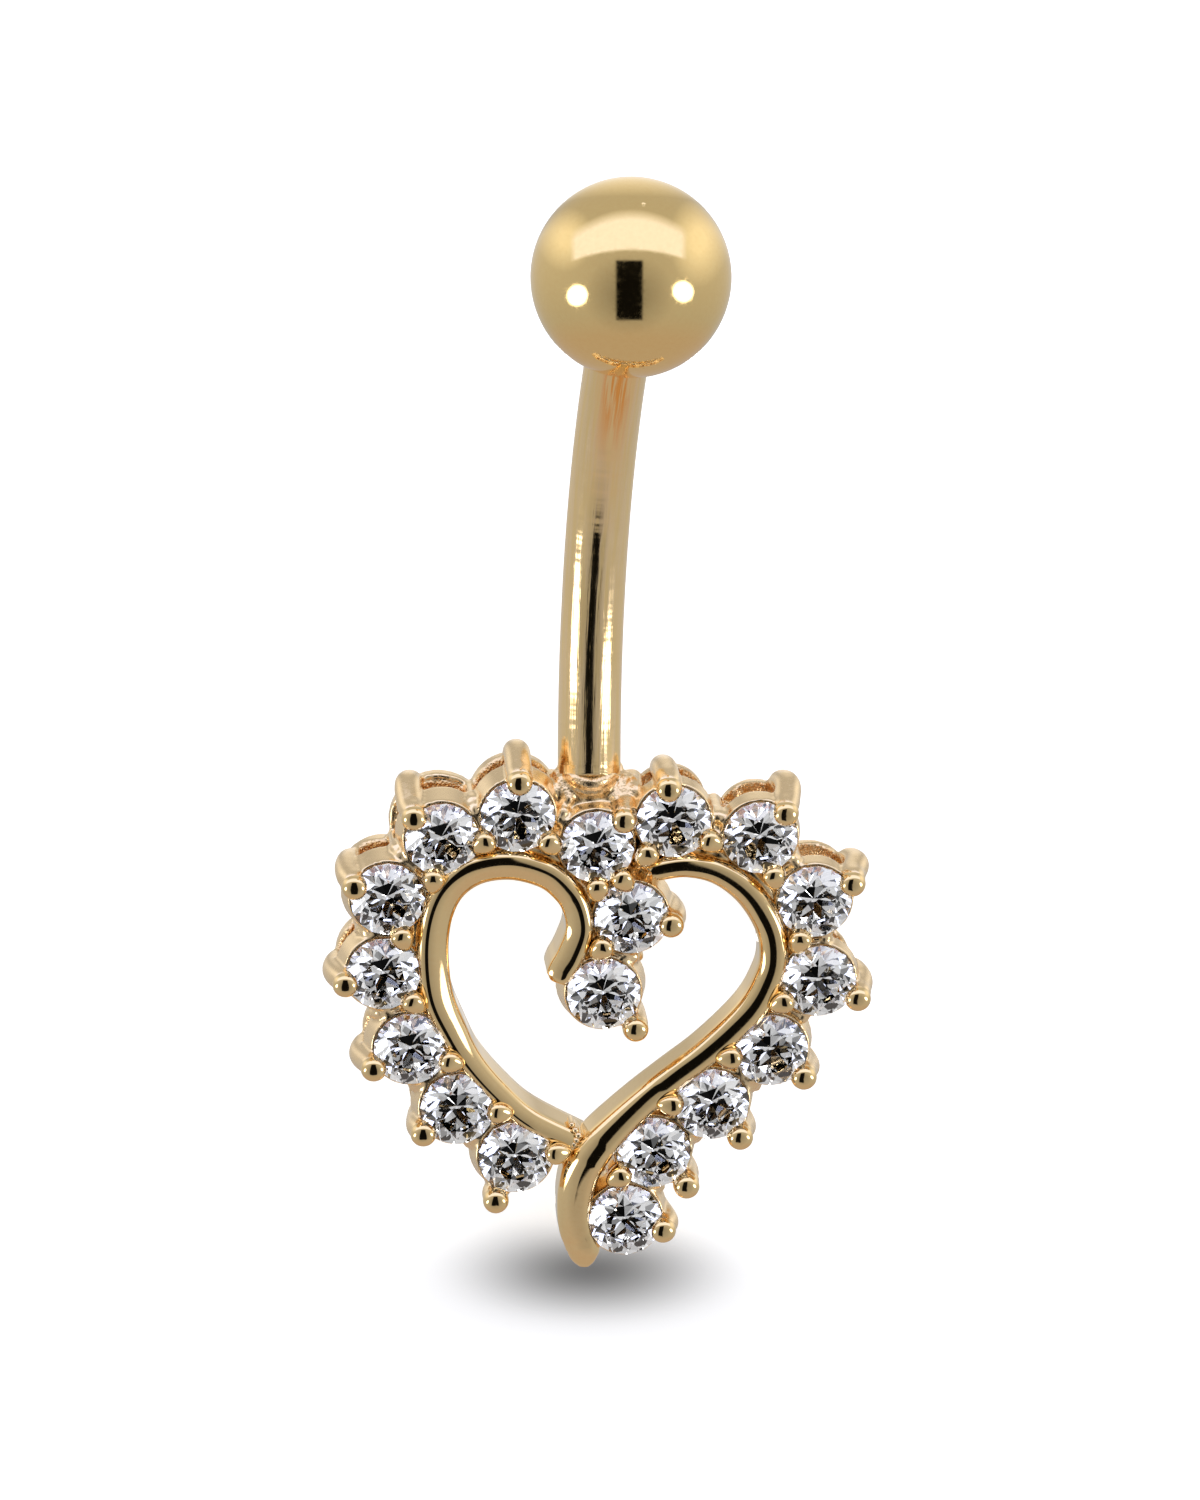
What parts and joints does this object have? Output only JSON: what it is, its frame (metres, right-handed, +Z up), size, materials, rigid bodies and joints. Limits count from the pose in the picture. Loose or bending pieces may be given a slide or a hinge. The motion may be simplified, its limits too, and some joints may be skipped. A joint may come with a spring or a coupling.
{
  "type": "navel ring",
  "caption": "Navel ring: a curved barbell with a screw-on ball and an open heart of crossing wires, edged with round clear stones in prong baskets.",
  "frame": {"origin": "middle of the bounding box's bottom, on the surface that the ring lies on", "axes": "+Z up, out of the heart's front; +Y from the heart's tip towards the ball; +X to the right as the heart is seen from the front"},
  "size_m": [0.0142, 0.0293, 0.0066],
  "materials": {
    "gold": "polished 14 karat yellow gold",
    "stone": "clear cut and polished stone"
  },
  "bodies": {
    "setting": {"heart_and_bar": "gold", "stone_01": "stone", "stone_02": "stone", "stone_03": "stone", "stone_04": "stone", "stone_05": "stone", "stone_06": "stone", "stone_07": "stone", "stone_08": "stone", "stone_09": "stone", "stone_10": "stone", "stone_11": "stone", "stone_12": "stone", "stone_13": "stone", "stone_14": "stone", "stone_15": "stone", "stone_16": "stone", "stone_17": "stone", "stone_18": "stone"},
    "ball": {"ball": "gold"}
  },
  "joints": [
    {"name": "ball_off", "type": "slide", "parent": "setting", "child": "ball", "axis": [0.0768, 0.8569, 0.5097], "range_m": [0, 0.004]}
  ]
}
